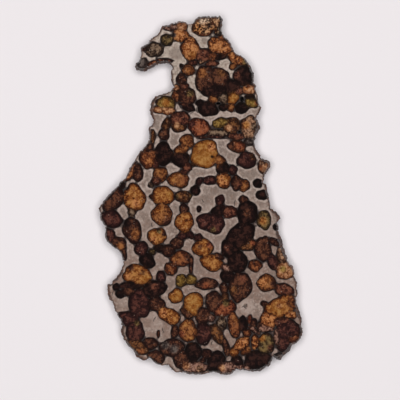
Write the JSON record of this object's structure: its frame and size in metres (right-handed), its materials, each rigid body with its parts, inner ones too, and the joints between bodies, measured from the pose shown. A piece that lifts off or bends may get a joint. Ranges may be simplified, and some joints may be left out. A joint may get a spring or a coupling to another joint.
{
  "type": "pallasite meteorite slice",
  "caption": "Thin cut and polished slice of a pallasite, olivine crystals set in iron-nickel metal, lying on its flat sawn back.",
  "frame": {"origin": "bottom centre of the bounding box, on the sawn back face", "axes": "+Y along the slice's length to its narrow end, +X across it, +Z out of the polished face"},
  "size_m": [0.0607, 0.1077, 0.0032],
  "materials": {
    "iron_nickel": "sawn and polished iron-nickel, warm grey, with faint bands round the crystals",
    "olivine_amber": "polished translucent olivine, honey to rust, cracked and mottled",
    "olivine_dark": "polished near-black to maroon olivine, hardly see-through"
  },
  "bodies": {
    "root": {"iron_nickel_web": "iron_nickel", "iron_nickel_patch_01": "iron_nickel", "iron_nickel_patch_02": "iron_nickel", "iron_nickel_patch_03": "iron_nickel", "iron_nickel_patch_04": "iron_nickel", "iron_nickel_patch_05": "iron_nickel", "iron_nickel_patch_06": "iron_nickel", "olivine_cluster_01": "olivine_amber", "olivine_cluster_02": "olivine_amber", "olivine_crystal_01": "olivine_amber", "olivine_crystal_02": "olivine_dark", "olivine_crystal_03": "olivine_dark", "olivine_crystal_04": "olivine_dark", "olivine_crystal_05": "olivine_amber", "olivine_cluster_03": "olivine_dark", "olivine_cluster_04": "olivine_dark", "olivine_cluster_05": "olivine_amber", "olivine_cluster_06": "olivine_dark", "olivine_cluster_07": "olivine_amber", "olivine_crystal_06": "olivine_amber", "olivine_cluster_08": "olivine_dark", "olivine_cluster_09": "olivine_amber", "olivine_crystal_07": "olivine_amber", "olivine_crystal_08": "olivine_dark", "olivine_crystal_09": "olivine_amber", "olivine_cluster_10": "olivine_dark", "olivine_crystal_10": "olivine_amber", "olivine_crystal_11": "olivine_amber", "olivine_cluster_11": "olivine_dark", "olivine_cluster_12": "olivine_dark", "olivine_crystal_12": "olivine_dark", "olivine_cluster_13": "olivine_amber", "olivine_crystal_13": "olivine_dark", "olivine_cluster_14": "olivine_amber", "olivine_crystal_14": "olivine_dark", "olivine_crystal_15": "olivine_amber", "olivine_cluster_15": "olivine_dark", "olivine_crystal_16": "olivine_amber", "olivine_crystal_17": "olivine_dark", "olivine_cluster_16": "olivine_dark", "olivine_crystal_18": "olivine_amber", "olivine_cluster_17": "olivine_dark", "olivine_crystal_19": "olivine_dark", "olivine_cluster_18": "olivine_dark", "olivine_crystal_20": "olivine_amber", "olivine_cluster_19": "olivine_dark", "olivine_cluster_20": "olivine_amber", "olivine_crystal_21": "olivine_amber", "olivine_crystal_22": "olivine_dark", "olivine_cluster_21": "olivine_amber", "olivine_crystal_23": "olivine_amber", "olivine_cluster_22": "olivine_dark", "olivine_cluster_23": "olivine_amber", "olivine_crystal_24": "olivine_dark", "olivine_cluster_24": "olivine_dark", "olivine_cluster_25": "olivine_dark"}
  },
  "joints": []
}
